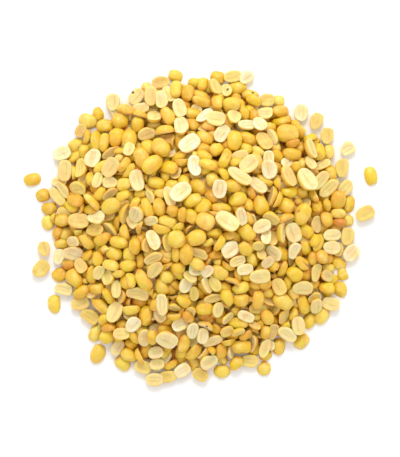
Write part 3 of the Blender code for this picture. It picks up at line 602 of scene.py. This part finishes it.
def flipped(face_up):
    """Turns a half bean over where its split face is up."""
    return Matrix.Rotation(math.pi, 4, "X") if face_up else Matrix.Identity(4)


def lowest(kind, turn):
    return min((turn @ corner).z for corner in kind.corners)


def pick(draw, kinds):
    return kinds[draw.randrange(len(kinds))]


def turned(degrees, axis="Z"):
    return Matrix.Rotation(math.radians(degrees), 4, axis)


def on_floor(kind, rotation, x, y):
    return Matrix.Translation((x, y, -lowest(kind, rotation))) @ rotation


def read_grain(row, draw, halves):
    """Kind and place of a grain read from above that lies flat on the floor."""
    x_px, y_px, length_px, width_px, turn, side = row
    kind = resized(pick(draw, halves), length_px * PIXEL, width_px * PIXEL)
    return kind, on_floor(kind, turned(turn) @ flipped(side == F), *from_pixels(x_px, y_px))


class Ground:
    """How high the grains laid down so far reach in every cell of a grid, in millimetres."""

    def __init__(self):
        self.heights = {}

    def add(self, kind, place, inner=1.0):
        for corner in kind.corners:
            point = place @ (corner * inner)
            cell = (round(point.x / CELL), round(point.y / CELL))
            self.heights[cell] = max(point.z, self.heights.get(cell, 0.0))

    def touch(self, kind, rotation, x, y, inner=1.0):
        """The height at which a turned grain first touches what is below it."""
        height = 0.0
        for corner in kind.corners:
            point = rotation @ (corner * inner)
            cell = (round((point.x + x) / CELL), round((point.y + y) / CELL))
            height = max(height, self.heights.get(cell, 0.0) - point.z)
        return height


def lay_on_top(kind, rotation, x, y, pile, laid):
    """Puts a turned grain on the pile, and on the inner part of what was laid there before it."""
    low = pile.touch(kind, rotation, x, y) + 0.05
    high = laid.touch(kind, rotation, x, y, INNER)
    place = Matrix.Translation((x, y, max(low, min(high, low + MOST_LIFT)))) @ rotation
    laid.add(kind, place, INNER)
    return place


def top_point(grains, x, y):
    """The highest corner of the grains within half a millimetre of x, y."""
    reached = [Vector((x, y, 0))]
    for kind, place, *_ in grains:
        if math.dist(place.translation[:2], (x, y)) > LENGTH:
            continue
        points = [place @ corner for corner in kind.corners]
        reached += [point for point in points if math.dist(point[:2], (x, y)) < 0.5]
    return max(reached, key=lambda point: point.z)


def slope_turn(x, y):
    """Turn that leans a flat grain with the side of the heap."""
    rise_x = (heap_height(x + 1, y) - heap_height(x - 1, y)) / 2
    rise_y = (heap_height(x, y + 1) - heap_height(x, y - 1)) / 2
    normal = Vector((-rise_x * LEAN, -rise_y * LEAN, 1)).normalized()
    return Vector((0, 0, 1)).rotation_difference(normal).to_matrix().to_4x4()


def roll_of(width, side):
    """How far a grain is rolled about its length to look as narrow as it does from above, in degrees."""
    if side == E:
        return 75
    return max(0, min(1, (2.7 - width) / 1.2)) * 60


def top_kind(row, draw, halves, wholes, chips):
    """Shape of a grain of the top: what looks short or narrow is partly hidden or rolled, and larger."""
    length, width, side = row[2] * PIXEL * LARGER, row[3] * PIXEL * LARGER, row[5]
    if side == W:
        return resized(pick(draw, wholes), length, width)
    if side == C:
        return resized(pick(draw, chips), max(length, 2.6), max(width, 2.2))
    width = width if width > 2.6 else draw.uniform(2.6, 3.1)
    length = max(length, width * draw.uniform(1.1, 1.3), draw.uniform(3.5, 4.1))
    return resized(pick(draw, halves), length, width)


def hidden(row):
    """A grain of which little shows lies lower than its neighbours."""
    return row[5] == C or row[2] < 12.6


def laid_when(row):
    """Sorts the hidden grains first, and the outer ones before those around the middle."""
    return not hidden(row), math.dist(row[:2], MIDDLE_PX) < 100


def top_grains(draw, halves, wholes, chips, pile, laid):
    """The grains read from above, laid on the settled pile, the lower ones first."""
    grains = []
    for row in sorted(TOP_GRAINS, key=laid_when):
        x, y = seen_at(row[0], row[1])
        kind = top_kind(row, draw, halves, wholes, chips)
        roll = roll_of(row[3] * PIXEL * LARGER, row[5]) * draw.choice((-1, 1))
        wobble = turned(draw.gauss(0, 5), "X") @ turned(draw.gauss(0, 5), "Y")
        rotation = slope_turn(x, y) @ turned(row[4]) @ wobble @ turned(roll, "X") @ flipped(row[5] == F)
        place = lay_on_top(kind, rotation, x, y, pile, laid)
        # Tone read from above: grains lying in gaps read darker, painted shade as well as their own colour
        grains.append((kind, place, row[6] / 9, tint_of(draw)))
    return grains


def filling_grains(draw, halves, pile, laid):
    """Grains for the places of the slope where none was read."""
    taken = [from_pixels(row[0], row[1]) for row in TOP_GRAINS + RIM_GRAINS]
    grains = []
    rows = int(48 / FILL_SPACING)
    for row in range(-rows, rows + 1):
        for column in range(-rows, rows + 1):
            x = column * FILL_SPACING + draw.uniform(-0.9, 0.9)
            y = row * FILL_SPACING + draw.uniform(-0.9, 0.9)
            if math.hypot(x, y) > outline_radius(math.atan2(y, x)) - 4.5:
                continue
            if min(math.dist((x, y), other) for other in taken) < FILL_CLEAR:
                continue
            taken.append((x, y))
            kind = pick(draw, halves)
            rotation = slope_turn(x, y) @ random_turn(draw, 0.2)
            place = lay_on_top(kind, rotation, x, y, pile, laid)
            grains.append((kind, place, draw.uniform(0.1, 0.7), tint_of(draw)))
    return grains


def fill_floor(draw, halves, taken, strays):
    """Grains flat on the floor, in rings from the rim inwards, where those read leave a gap."""
    found, grains = [], []
    for inset, gap in FLOOR_RINGS:
        for i in range(120):
            angle = 2 * math.pi * i / 120
            reach = outline_radius(angle) - inset
            point = (reach * math.cos(angle), reach * math.sin(angle))
            if min(math.dist(point, other) for other in taken + found) < gap:
                continue
            if min(math.dist(point, other) for other in strays) < STRAY_ROOM:
                continue
            found.append(point)
            kind = scaled(pick(draw, halves), FILL_SIZE, FILL_SIZE, FILL_SIZE)
            turn = turned(draw.uniform(0, 360)) @ flipped(draw.random() < 0.5)
            grains.append((kind, on_floor(kind, turn, *point)))
    return grains


def random_turn(draw, most_tilt):
    axis = Vector((draw.uniform(-1, 1), draw.uniform(-1, 1), 0)).normalized()
    tilt = Matrix.Rotation(draw.gauss(0, most_tilt), 4, axis)
    over = flipped(draw.random() < 0.5)
    return tilt @ Matrix.Rotation(draw.uniform(0, 2 * math.pi), 4, "Z") @ over


def staggered(draw, spacing, layer, jitter):
    """Points of a staggered grid over the heap, each a little off its place."""
    rows = int(50 / spacing) + 2
    for row in range(-rows, rows):
        for column in range(-rows, rows):
            x = (column + 0.5 * (row % 2) + 0.33 * layer) * spacing + draw.uniform(-jitter, jitter)
            y = (row * 0.866 + 0.29 * layer) * spacing + draw.uniform(-jitter, jitter)
            yield x, y


def bed_grains(draw, halves):
    """Fixed grains all over the core, half sunk in it."""
    grains = []
    for x, y in staggered(draw, BED_SPACING, 0, 0.6):
        if heap_height(x, y) < CORE_DEPTH:
            continue
        kind = pick(draw, halves)
        turn = random_turn(draw, 0.4)
        z = max(heap_height(x, y) - CORE_DEPTH - BED_SUNK, 0.05 - lowest(kind, turn))
        grains.append((kind, Matrix.Translation((x, y, z)) @ turn))
    return grains


def layered_grains(draw, halves, wholes, chips):
    """Loose grains in layers over the core, before they fall."""
    grains = []
    for layer in range(LAYERS):
        for x, y in staggered(draw, SPACING, layer, 0.5):
            if heap_height(x, y) < FIRST_LAYER_ROOM + LAYER_ROOM * layer:
                continue
            chance = draw.random()
            kinds = halves
            if chance < SHARE_WHOLE:
                kinds = wholes
            elif chance < SHARE_WHOLE + SHARE_CHIP:
                kinds = chips
            kind = pick(draw, kinds)
            z = max(0.0, heap_height(x, y) - CORE_DEPTH) + 3.0 + LAYER_RISE * layer
            grains.append((kind, Matrix.Translation((x, y, z)) @ random_turn(draw, 0.35)))
    return grains


def add_object(collection, name, mesh, place):
    made = bpy.data.objects.new(name, mesh)
    collection.objects.link(made)
    made.matrix_world = place
    return made


def make_bodies(objects, fixed_count, shapes, damping):
    """Turns objects into rigid bodies; the first ones stay where they are."""
    for made in bpy.context.selected_objects:
        made.select_set(False)
    for made in objects:
        made.select_set(True)
    bpy.context.view_layer.objects.active = objects[0]
    bpy.ops.rigidbody.objects_add(type="ACTIVE")
    for i, made in enumerate(objects):
        body = made.rigid_body
        body.type = "PASSIVE" if i < fixed_count else "ACTIVE"
        body.collision_shape = shapes.get(made.name, "CONVEX_HULL")
        body.friction = FRICTION
        body.restitution = 0.0
        body.use_margin = True
        body.collision_margin = 0.02
        body.linear_damping = damping
        body.angular_damping = min(0.98, damping * 2)
        body.mass = 1.0


def settle(fixed, loose, frames, damping):
    """Lets the loose grains fall on the core, the floor and the fixed grains. Returns where they end."""
    scene = bpy.context.scene
    bpy.ops.rigidbody.world_add()
    world = scene.rigidbody_world
    bodies = bpy.data.collections.new("bodies")
    scene.collection.children.link(bodies)
    world.collection = bodies
    world.substeps_per_frame = SUBSTEPS
    world.solver_iterations = 12
    world.use_split_impulse = True
    world.point_cache.frame_start = 1
    world.point_cache.frame_end = frames
    scene.gravity = (0, 0, -GRAVITY)
    scene.frame_start, scene.frame_end = 1, frames
    slab = mesh_from("slab", *box_shape(150, 150, 10))
    mound = core_mesh("mound", CORE_DEPTH, CORE_INSET, 0)
    objects = [
        add_object(bodies, "slab", slab, Matrix.Translation((0, 0, -10))),
        add_object(bodies, "mound", mound, Matrix.Identity(4)),
    ]
    hulls = {}
    for i, (kind, place, *_) in enumerate(fixed + loose):
        if id(kind) not in hulls:
            hulls[id(kind)] = hull_mesh(f"hull_{len(hulls)}", kind.hull)
        objects.append(add_object(bodies, f"grain_{i:04d}", hulls[id(kind)], place))
    make_bodies(objects, 2 + len(fixed), {"slab": "BOX", "mound": "MESH"}, damping)
    for step in range(1, frames + 1):
        scene.frame_set(step)
    graph = bpy.context.evaluated_depsgraph_get()
    places = [made.evaluated_get(graph).matrix_world.copy() for made in objects[2 + len(fixed):]]
    bpy.ops.rigidbody.world_remove()
    for body in list(bodies.objects):
        bpy.data.objects.remove(body)
    bpy.data.collections.remove(bodies)
    scene.frame_set(1)
    scene.gravity = (0, 0, -9.81)
    return [(grain[0], place, *grain[2:]) for grain, place in zip(loose, places)]


def box_shape(x, y, z):
    corners = [(i * x, j * y, k * z) for k in (-1, 1) for j in (-1, 1) for i in (-1, 1)]
    faces = [(0, 2, 3, 1), (4, 5, 7, 6), (0, 1, 5, 4), (2, 6, 7, 3), (0, 4, 6, 2), (1, 3, 7, 5)]
    return corners, faces


def node(tree, kind, inputs=(), **settings):
    """A new node; inputs holds pairs of a socket's name or number and its value or the socket to link."""
    made = tree.nodes.new(kind)
    for name, value in settings.items():
        setattr(made, name, value)
    for socket, value in inputs:
        if isinstance(value, bpy.types.NodeSocket):
            tree.links.new(value, made.inputs[socket])
        else:
            made.inputs[socket].default_value = value
    return made


def position(tree):
    return node(tree, "ShaderNodeNewGeometry").outputs["Position"]


def attribute(tree, name):
    return node(tree, "ShaderNodeAttribute", attribute_name=name).outputs["Fac"]


def ramp(tree, factor, stops):
    """Colours between stops of a position from 0 to 1 and an sRGB colour."""
    made = node(tree, "ShaderNodeValToRGB", [("Fac", factor)])
    band = made.color_ramp
    while len(band.elements) < len(stops):
        band.elements.new(0.5)
    for element, (place, colour) in zip(band.elements, stops):
        element.position = place
        element.color = linear(*colour)
    return made.outputs["Color"]


def blend(tree, factor, low, high, mode="MIX"):
    inputs = [(0, factor), (6, low), (7, high)]
    return node(tree, "ShaderNodeMix", inputs, data_type="RGBA", blend_type=mode).outputs[2]


def maths(tree, operation, first, second):
    return node(tree, "ShaderNodeMath", [(0, first), (1, second)], operation=operation).outputs[0]


def noise(tree, scale, detail, other=0.0):
    inputs = [("Vector", position(tree)), ("Scale", scale), ("Detail", detail), ("W", other)]
    return node(tree, "ShaderNodeTexNoise", inputs, noise_dimensions="4D").outputs["Fac"]


def patches(tree, scale, start, end, most, other):
    """Soft patches of the given strength where the noise rises from start to end."""
    rise = noise(tree, scale, 2, other)
    inputs = [("Value", rise), ("From Min", start), ("From Max", end), ("To Max", most)]
    return node(tree, "ShaderNodeMapRange", inputs, interpolation_type="SMOOTHSTEP").outputs["Result"]


def near_spot(tree, point):
    """1 within a quarter of a millimetre of the point, and 0 from half a millimetre on."""
    inputs = [(0, position(tree)), (1, point * MM)]
    apart = node(tree, "ShaderNodeVectorMath", inputs, operation="DISTANCE").outputs["Value"]
    inputs = [("Value", apart), ("From Min", 0.5 * MM), ("From Max", 0.25 * MM)]
    return node(tree, "ShaderNodeMapRange", inputs).outputs["Result"]


def linear(red, green, blue):
    """An sRGB colour from 0 to 255 as the shader takes it, opaque."""
    def one(value):
        value /= 255
        return value / 12.92 if value <= 0.04045 else ((value + 0.055) / 1.055) ** 2.4
    return one(red), one(green), one(blue), 1


def grain_colour(tree, spots):
    tone, tint = attribute(tree, "tone"), attribute(tree, "tint")
    groove, cut = attribute(tree, "groove"), attribute(tree, "cut")
    # Tone darkens the ramps: for the grains read from above and the deep bed and pile grains it holds
    # painted shade as well as their own differences
    dome = blend(tree, tint, ramp(tree, tone, TAN_DOME), ramp(tree, tone, LEMON_DOME))
    face = blend(tree, tint, ramp(tree, tone, TAN_FACE), ramp(tree, tone, LEMON_FACE))
    dome = blend(tree, patches(tree, 280, 0.48, 0.68, 0.45, 5.0), dome, linear(*DOME_LEMON))
    dome = blend(tree, patches(tree, 330, 0.50, 0.70, 0.50, 0.0), dome, linear(*DOME_PEACH))
    face = blend(tree, patches(tree, 330, 0.46, 0.66, 0.44, 0.0), face, linear(*FACE_PEACH))
    face = blend(tree, patches(tree, 360, 0.48, 0.66, 0.45, 3.0), face, linear(*FACE_LEMON))
    dome = blend(tree, groove, dome, linear(*DOME_GROOVE))
    # Painted shade: the grooves, germ dent and hollow of a split face are darkened to a tan colour
    face = blend(tree, maths(tree, "MULTIPLY", groove, 0.5), face, linear(*FACE_GROOVE_SHADE))
    colour = blend(tree, cut, dome, face)
    colour = blend(tree, patches(tree, 420, 0.48, 0.72, 0.45, 9.0), colour, linear(*PALE))
    # Painted shade, partly the grains' own warmer edges: darker orange at the rim of the split face, the
    # lower sides of the domes and the tips
    edge = maths(tree, "MULTIPLY", attribute(tree, "edge"), 0.85)
    colour = blend(tree, edge, colour, blend(tree, 1.0, colour, (1.0, 0.72, 0.42, 1), "MULTIPLY"))
    for spot in spots:
        colour = blend(tree, near_spot(tree, spot), colour, linear(*SPOT))
    return colour


def new_material(name):
    material = bpy.data.materials.new(name)
    material.use_nodes = True
    return material, material.node_tree, material.node_tree.nodes["Principled BSDF"]


def grain_material(spots):
    material, tree, shader = new_material("lentil_grains")
    tree.links.new(grain_colour(tree, spots), shader.inputs["Base Color"])
    rough = maths(tree, "ADD", maths(tree, "MULTIPLY", noise(tree, 2500, 2), 0.2), 0.36)
    rough = maths(tree, "ADD", rough, maths(tree, "MULTIPLY", attribute(tree, "cut"), 0.15))
    tree.links.new(rough, shader.inputs["Roughness"])
    relief = [("Strength", 0.6), ("Distance", 0.0004), ("Height", noise(tree, 700, 4))]
    tree.links.new(node(tree, "ShaderNodeBump", relief).outputs["Normal"], shader.inputs["Normal"])
    shader.inputs["Subsurface Weight"].default_value = 0.55
    shader.inputs["Subsurface Radius"].default_value = (1.0, 0.45, 0.12)
    shader.inputs["Subsurface Scale"].default_value = 0.0010
    shader.inputs["Specular IOR Level"].default_value = 0.6
    return material


def dull_material(name, roughness):
    material, tree, shader = new_material(name)
    shader.inputs["Roughness"].default_value = roughness
    shader.inputs["Specular IOR Level"].default_value = 0.2
    return material, tree, shader.inputs["Base Color"]


def shaded_core_material():
    material, tree, colour = dull_material("shaded_core_grains", 0.7)
    # Painted shade: reddish brown, as grains in shade
    tree.links.new(ramp(tree, noise(tree, 500, 2), SHADED_CORE), colour)
    return material


def shown(name, data):
    """A new object in the scene."""
    made = bpy.data.objects.new(name, data)
    bpy.context.scene.collection.objects.link(made)
    return made


def joined(name, grains, material):
    """One mesh of many grains, each (kind, place in millimetres, tone, tint)."""
    corners, faces, values = [], [], []
    for kind, place, tone, tint in grains:
        start = len(corners)
        corners += [tuple((place @ corner) * MM) for corner in kind.corners]
        faces += [tuple(start + i for i in face) for face in kind.faces]
        values += [(*marks, tone, tint) for marks in kind.marks]
    mesh = mesh_from(name, corners, faces)
    mesh.polygons.foreach_set("use_smooth", [True] * len(mesh.polygons))
    for label, column in zip((*MARKS, "tone", "tint"), zip(*values)):
        layer = mesh.attributes.new(label, "FLOAT", "POINT")
        layer.data.foreach_set("value", column)
    mesh.materials.append(material)
    return shown(name, mesh)


def fit_piece(piece, *nodes):
    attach(piece, "root")
    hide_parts(*nodes)


def tone_of(draw):
    return min(1.0, max(0.0, draw.betavariate(1.6, 1.9)))


def tint_of(draw):
    """From 0, tan, to 1, lemon yellow, which most grains are nearer to."""
    return draw.random() ** 0.55


def rim_look(draw):
    """Tone and tint of a grain at the rim, where more light reaches it."""
    return 0.25 + 0.75 * tone_of(draw), 0.45 + 0.55 * tint_of(draw)


def grain_kinds(draw):
    """The shapes of half beans, of whole ones and of broken ones."""
    halves = [
        make_half(draw, draw.uniform(0.90, 1.10), draw.uniform(0.90, 1.08), draw.uniform(0.90, 1.06))
        for _ in range(HALF_KINDS)
    ]
    halves.append(make_half(draw, 1.22, 1.10, 1.1))
    wholes = [
        make_whole(draw, draw.uniform(0.95, 1.12), draw.uniform(0.95, 1.08))
        for _ in range(WHOLE_KINDS)
    ]
    chips = [make_chip(draw, draw.uniform(-0.1, 0.4), draw.uniform(-0.7, 0.7)) for _ in range(CHIP_KINDS)]
    return halves, wholes, chips


def build_grains():
    draw = random.Random(SEED)
    halves, wholes, chips = grain_kinds(draw)
    rim = [read_grain(row, draw, halves) for row in RIM_GRAINS]
    taken = [from_pixels(row[0], row[1]) for row in RIM_GRAINS]
    apart = [from_pixels(row[0], row[1]) for row in STRAYS]
    rim += fill_floor(draw, halves, taken, apart)
    strays = [read_grain(row, draw, halves) for row in STRAYS]
    bed = bed_grains(draw, halves)
    layers = layered_grains(draw, halves, wholes, chips)
    pile_frames, top_frames = PILE_FRAMES, TOP_FRAMES
    pile = within_heap(settle(rim + strays + bed, layers, pile_frames, PILE_DAMPING))
    ground, laid = Ground(), Ground()
    for kind, place in rim + strays + bed + pile:
        ground.add(kind, place)
    top = top_grains(draw, halves, wholes, chips, ground, laid)
    top += filling_grains(draw, halves, ground, laid)
    top = within_heap(settle(rim + strays + bed + pile, top, top_frames, TOP_DAMPING))
    spots = [top_point(rim + pile + top, *seen_at(*spot)) for spot in SPOTS]
    material = grain_material(spots)
    everything = [(kind, place, *rim_look(draw)) for kind, place in rim]
    # Painted shade: the bed and pile grains, lying deep in the heap, get darker and more tan tones
    everything += [(kind, place, tone_of(draw) * 0.8, tint_of(draw) * 0.7) for kind, place in bed]
    everything += [(kind, place, tone_of(draw) * 0.9, tint_of(draw) * 0.9) for kind, place in pile]
    everything += top
    build_heap_pieces(everything, material)
    for i, (kind, place) in enumerate(strays, start=1):
        piece = joined(f"stray_{i}", [(kind, place, *rim_look(draw))], material)
        fit_piece(piece, f"stray_grain_{i}")
    build_core()


def build_core():
    mesh = core_mesh("heap_core", CORE_DEPTH + 0.2, CORE_SHOWN_INSET, 0.3)
    mesh.transform(Matrix.Scale(MM, 4))
    mesh.materials.append(shaded_core_material())
    fit_piece(shown("heap_core", mesh), "lentil_heap")


def within_heap(grains):
    """Leaves out the grains that rolled away, and lifts those that dip into the floor."""
    kept = []
    for grain in grains:
        x, y, z = grain[1].translation
        if z < 0.3 or math.hypot(x, y) > outline_radius(math.atan2(y, x)) - 1.0:
            continue
        dip = max(0.0, -lowest(grain[0], grain[1]))
        kept.append((grain[0], Matrix.Translation((0, 0, dip)) @ grain[1], *grain[2:]))
    return kept


def build_heap_pieces(grains, material):
    """One piece of whole beans, one of broken ones, and several of half beans."""
    names = {"whole": "whole_beans", "chip": "chips"}
    groups = {}
    for i, grain in enumerate(grains):
        name = names.get(grain[0].sort, f"halves_{1 + i % HALF_PIECES}")
        groups.setdefault(name, []).append(grain)
    for name, part in sorted(groups.items()):
        piece = joined(name, part, material)
        fit_piece(piece, "lentil_heap")


def build_floor():
    size = 1.5
    corners = [(-size, -size, 0), (size, -size, 0), (size, size, 0), (-size, size, 0)]
    material, _, colour = dull_material("white_floor", 0.8)
    colour.default_value = (0.96, 0.96, 0.96, 1)
    mesh = mesh_from("floor", corners, [(0, 1, 2, 3)])
    mesh.materials.append(material)
    floor = shown("floor", mesh)


def add_light(name, place, size, power):
    light = bpy.data.lights.new(name, "AREA")
    light.shape = "DISK"
    light.size = size
    light.energy = power
    lamp = shown(name, light)
    lamp.location = place
    lamp.rotation_euler = (-Vector(place)).to_track_quat("-Z", "Y").to_euler()


def build_light():
    scene = bpy.context.scene
    scene.view_settings.view_transform = "Standard"
    scene.view_settings.look = "None"
    world = bpy.data.worlds.new("studio")
    scene.world = world
    world.use_nodes = True
    background = world.node_tree.nodes["Background"]
    background.inputs["Color"].default_value = (1, 1, 1, 1)
    background.inputs["Strength"].default_value = 0.92
    add_light("key", (0.0, 0.38, 0.37), 0.25, 1.45)


def build_camera():
    data = bpy.data.cameras.new("camera")
    data.lens = LENS
    data.sensor_width = SENSOR
    camera = shown("camera", data)
    x, y = from_pixels(PHOTO_PX[0] / 2, PHOTO_PX[1] / 2)
    camera.location = (x * MM, y * MM, CAMERA_HEIGHT * MM)
    bpy.context.scene.camera = camera


def main():
    build_camera()
    build_light()
    build_floor()
    build_grains()


main()
